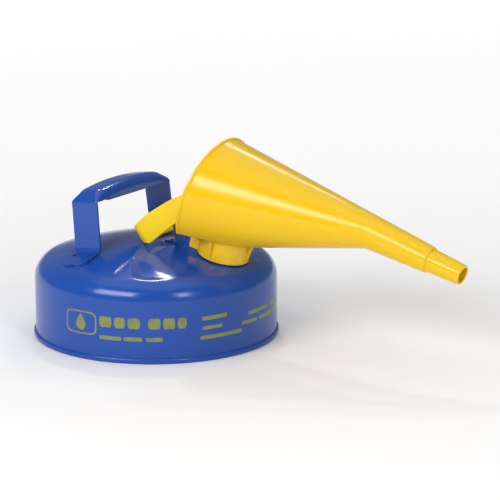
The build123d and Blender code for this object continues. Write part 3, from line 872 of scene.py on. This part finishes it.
def makeFunnelCone():
    # Round sections along the run. A section's centre, radius and lean are blended between
    # the stations; where it would dip below the flat base it stops at the base.
    mouthP, mouthS, mouthR, mouthLean = funnel["mouth"]
    kinkP, kinkS, kinkR = funnel["kink"]
    stepP, stepS, stepR = funnel["step"]
    tipP, tipS, tipR = funnel["tip"]
    coneDeg = math.degrees(math.atan2(kinkS - mouthS, kinkP - mouthP))
    tubeDeg = math.degrees(math.atan2(tipS - kinkS, tipP - kinkP))
    kinkDeg = (coneDeg + tubeDeg) / 2
    coneLong = math.hypot(kinkP - mouthP, kinkS - mouthS)
    # Cone: share of the way from the mouth to the kink, with the rolled bead first.
    stations = [(length / coneLong, extra) for length, extra in funnel["bead"]]
    stations += [(share, 0.0) for share in np.linspace(funnel["coneStart"], 1.0, funnel["coneRows"])]
    rows = []
    for share, extra in stations:
        lean = (mouthLean - 90) * (1 - share) + kinkDeg * share
        rows.append((mouthP + (kinkP - mouthP) * share, mouthS + (kinkS - mouthS) * share,
                     mouthR + (kinkR - mouthR) * share + extra, lean))
    # Tube: the lean turns within the first part of it.
    for share in np.linspace(0, 1, funnel["tubeRows"])[1:-1]:
        lean = tubeDeg + (kinkDeg - tubeDeg) * max(0, 1 - share * funnel["bendShare"])
        rows.append((kinkP + (stepP - kinkP) * share, kinkS + (stepS - kinkS) * share,
                     kinkR + (stepR - kinkR) * share, lean))
    # Rounded shoulder down to the spigot.
    shoulder = stepR - funnel["spigotR"]
    dirP, dirS = math.cos(math.radians(tubeDeg)), math.sin(math.radians(tubeDeg))
    for a in np.radians(np.linspace(0, 90, funnel["stepRows"])):
        ahead = (math.sin(a) - 1) * funnel["stepLong"]
        radius = stepR - shoulder * (1 - math.cos(a))
        rows.append((stepP + ahead * dirP, stepS + ahead * dirS, radius, tubeDeg))
    for share in np.linspace(funnel["spigotStart"], 1, funnel["spigotRows"]):
        rows.append((stepP + (tipP - stepP) * share, stepS + (tipS - stepS) * share,
                     funnel["spigotR"] + (tipR - funnel["spigotR"]) * share, tubeDeg))
    rows = np.array(rows)
    p, s, radius, lean = rows.T
    lean = np.radians(lean)
    upP, upS = -np.sin(lean), np.cos(lean)
    # A circle that would dip below the flat base starts where it meets the base; the rest are full.
    reach = (s - spout["plateFoot"]) / (radius * upS)
    first = np.where(reach < 1, np.arccos(np.clip(reach, -1, 1)), 0.0)
    t = np.linspace(0, 1, funnel["around"] + 1)
    a = first[:, None] + t[None] * (2 * np.pi - 2 * first[:, None])
    below = np.cos(a) * radius[:, None]
    grid = (
        spoutPoint(p, s)[:, None]
        - (below * upP[:, None])[..., None] * spoutAhead
        - (below * upS[:, None])[..., None] * spoutUp
        + (np.sin(a) * radius[:, None])[..., None] * sideways
    )
    piece = gridPiece("pouring_funnel", grid, mergeBelow=0.004)
    return thicken(piece, funnel["skin"], -1.0, funnel["edge"])


settle(makeFunnelCone(), "funnel", funnelYellow, ["funnel_cone"], sharpDeg=45)
print("funnel ready")


# Printed marks: a framed drop, plain blocks and plain lines. Angles are in degrees round the wall,
# heights in millimetres; a line may slant by its last number.
marks = dict(
    lift=0.07, thick=0.12, tuck=0.14, frameAt=(-92.8, 30.8), frameOuter=(15.6, 9.8, 5.0),
    frameInner=(14.2, 8.5, 5.0), dropSize=5.0, dropHeart=0.02, blockZ=(29.4, 38.4),
    blocks=((-82.6, -76.6), (-75.4, -70.2), (-69.0, -63.2), (-59.6, -54.0), (-52.8, -47.4), (-46.2, -42.0)),
    lines=(
        (-82.8, -72.0, 18.9, 22.3, 0.0), (-71.0, -62.4, 18.9, 22.3, 0.0), (-60.6, -53.0, 18.9, 22.3, 0.0),
        (-34.6, -21.8, 34.6, 38.0, 0.6), (-34.4, -24.4, 26.6, 29.6, 0.4), (-35.6, -13.0, 18.6, 21.8, 0.6),
        (-8.6, 8.6, 31.6, 34.6, 0.0), (11.0, 22.0, 31.6, 34.6, 0.0),
        (-12.6, -2.0, 24.6, 27.6, 0.0), (0.0, 20.0, 24.6, 27.6, 0.0),
    ),
)


def wallPatch(name, degLow, degHigh, zLow, zHigh, slant):
    # A thin patch that follows the wall: angle and height, rounded at its corners.
    cols = max(3, int((degHigh - degLow) * 1.2))
    u = np.linspace(0, 1, cols)
    v = np.linspace(0, 1, 5)
    # The ends are drawn in near the corners, by a share of the height.
    tuck = (zHigh - zLow) * marks["tuck"] * np.abs(2 * v - 1) ** 4
    width = np.radians(degHigh - degLow) * can["wallR"]
    inset = tuck / width
    share = inset[:, None] + u[None] * (1 - 2 * inset[:, None])
    a = np.radians(degLow + share * (degHigh - degLow))
    z = np.repeat((zLow + v * (zHigh - zLow))[:, None], cols, 1) + slant * (share - 0.5)
    r = can["wallR"] + marks["lift"]
    return gridPiece(name, np.stack([r * np.cos(a), r * np.sin(a), z], -1))


def wallOutline(name, deg, z, outerPoints, innerPoints):
    # A band between two closed outlines in (sideways, height), wrapped on the wall.
    rings = []
    r = can["wallR"] + marks["lift"]
    for ring in (outerPoints, innerPoints):
        a = np.radians(deg) + ring[:, 0] / can["wallR"]
        rings.append(np.stack([r * np.cos(a), r * np.sin(a), z + ring[:, 1]], -1))
    grid = np.stack(rings, 0)
    grid = np.concatenate([grid[:1] * (1 - k) + grid[1:] * k for k in np.linspace(0, 1, 4)], 0)
    return gridPiece(name, grid, wrapCols=True)


def superRing(halfWide, halfHigh, power, count=96):
    # Superellipse: |x/a|^n + |z/b|^n = 1.
    a = np.linspace(0, 2 * np.pi, count, endpoint=False)
    c, s = np.cos(a), np.sin(a)
    return np.stack([halfWide * np.sign(c) * np.abs(c) ** (2 / power),
                     halfHigh * np.sign(s) * np.abs(s) ** (2 / power)], -1)


def dropRing(size, count=96):
    # A drop: a circle whose upper part is drawn up to a point.
    a = np.linspace(-np.pi / 2, 1.5 * np.pi, count, endpoint=False)
    lift = np.maximum(0, np.sin(a)) ** 2.2
    wide = size * np.cos(a) * (1 - 0.55 * lift)
    return np.stack([wide, size * (np.sin(a) + 0.75 * lift) - size * 0.3], -1)


def makeMarks():
    drop = dropRing(marks["dropSize"])
    outer, inner = superRing(*marks["frameOuter"]), superRing(*marks["frameInner"])
    pieces = [
        wallOutline("frame", *marks["frameAt"], outer, inner),
        wallOutline("drop", *marks["frameAt"], drop, drop * marks["dropHeart"]),
    ]
    pieces += [wallPatch("block", *block, *marks["blockZ"], 0.0) for block in marks["blocks"]]
    pieces += [wallPatch("line", *line) for line in marks["lines"]]
    return thicken(joinPieces(pieces, "wall_marks"), marks["thick"], -1.0)


settle(makeMarks(), "can", markInk, sharpDeg=40)
print("marks ready")

# The frame's own nodes that stay get their finishes.
keptFinishes = [
    (blueEnamel, ["can_bottom", "handle_welds", "spout_neck", "hinge_bracket", "bracket_welds"]),
    (zincPlate, ["neck_flange", "screen_ring", "lid_cap", "gasket_retainer", "lid_rivet", "lid_arm",
                 "lid_pin", "lid_pin_clips", "trigger_pin"]),
    (perforated, ["flame_screen", "screen_cap"]),
    (springWire, ["lid_spring"]),
    (rubberBlack, ["lid_gasket"]),
    (funnelYellow, ["funnel_base"]),
]
for material, names in keptFinishes:
    for name in names:
        target = nodes[name]
        if not target.material_slots:
            target.data.materials.append(material)
        for socket in target.material_slots:
            socket.material = material

# Studio, in metres and watts. Each box light: place, what it faces, width and height, power.
studio = dict(
    cameraAt=(1.0277, -1.5056, 0.5168), cameraLook=(0.0681, 0.0422, 0.0705), lens=158.4,
    floorHalf=9.0, floorTone=(0.93, 0.93, 0.93), floorPale=(0.95, 0.95, 0.95), glowFrom=0.15,
    glowTo=2.2, glow=0.62, world=0.26, worldSeen=0.96,
)
softBoxes = dict(
    keyBox=((-0.25, -1.86, 1.20), (0.0, 0.0, 0.08), (1.4, 0.68), 26),
    sideBox=((1.68, -0.97, 1.05), (0.05, 0.0, 0.08), (0.34, 0.6), 7),
    backBox=((-0.62, 0.86, 1.62), (0.05, 0.0, 0.06), (0.18, 0.15), 3.4),
    streakBox=((-0.18, 0.94, 1.15), (0.10, 0.0, 0.16), (0.30, 0.045), 1.6),
    ceiling=((0.0, 0.0, 2.6), (0.0, 0.001, 0.0), (3.0, 3.0), 22),
)


def pointAt(thing, target):
    way = Vector(target) - thing.location
    thing.rotation_euler = way.to_track_quat("-Z", "Y").to_euler()


def softBox(name, at, look, size, power):
    light = bpy.data.lights.new(name, "AREA")
    light.shape = "RECTANGLE"
    light.size, light.size_y = size
    light.energy = power
    box = bpy.data.objects.new(name, light)
    box.location = at
    bpy.context.scene.collection.objects.link(box)
    pointAt(box, look)


cameraData = bpy.data.cameras.new("studioCamera")
cameraData.lens = studio["lens"]
cameraData.sensor_width = 36.0
cameraData.clip_end = 50.0
camera = bpy.data.objects.new("studioCamera", cameraData)
camera.location = studio["cameraAt"]
bpy.context.scene.collection.objects.link(camera)
pointAt(camera, studio["cameraLook"])
bpy.context.scene.camera = camera

half = studio["floorHalf"]
floorMesh = bpy.data.meshes.new("studio_floor")
floorCorners = [(-half, -half, 0), (half, -half, 0), (half, half, 0), (-half, half, 0)]
floorMesh.from_pydata(floorCorners, [], [(0, 1, 2, 3)])
floor = bpy.data.objects.new("studio_floor", floorMesh)
bpy.context.scene.collection.objects.link(floor)
floorFinish, floorTree, floorShader, floorPlace = newFinish("studioFloor", {"Roughness": 0.85})
floorGrain = placeGroup(floorTree, surfaceGrain, floorPlace, **{"Fine Scale": 60.0, "Ripple Scale": 4.0})
floorColour = mixColours(floorTree, floorGrain.outputs["Mottle"], studio["floorTone"], studio["floorPale"])
floorTree.links.new(floorColour, floorShader.inputs["Base Color"])
# The floor is kept pale towards the back by a faint glow that starts away from the can.
floorFar = addNode(floorTree, "ShaderNodeVectorMath", operation="LENGTH")
floorTree.links.new(floorPlace, floorFar.inputs[0])
floorGlow = rangeNode(
    floorTree, floorFar.outputs["Value"], studio["glowFrom"], studio["glowTo"], 0.0, studio["glow"]
)
floorTree.links.new(floorGlow, floorShader.inputs["Emission Strength"])
floorShader.inputs["Emission Color"].default_value = (1.0, 1.0, 1.0, 1.0)
floorMesh.materials.append(floorFinish)

world = bpy.data.worlds.new("paleRoom")
bpy.context.scene.world = world
world.use_nodes = True
backdrop = world.node_tree.nodes["Background"]
backdrop.inputs["Color"].default_value = (1.0, 1.0, 1.0, 1.0)
# The room lights the can dimly, but looks as pale as the floor where it is seen past the floor's edge.
roomTree = world.node_tree
seen = roomTree.nodes.new("ShaderNodeLightPath").outputs["Is Camera Ray"]
roomLight = rangeNode(roomTree, seen, 0.0, 1.0, studio["world"], studio["worldSeen"])
roomTree.links.new(roomLight, backdrop.inputs["Strength"])

for name, settings in softBoxes.items():
    softBox(name, *settings)
bpy.context.scene.view_settings.view_transform = "Standard"
print("studio ready")
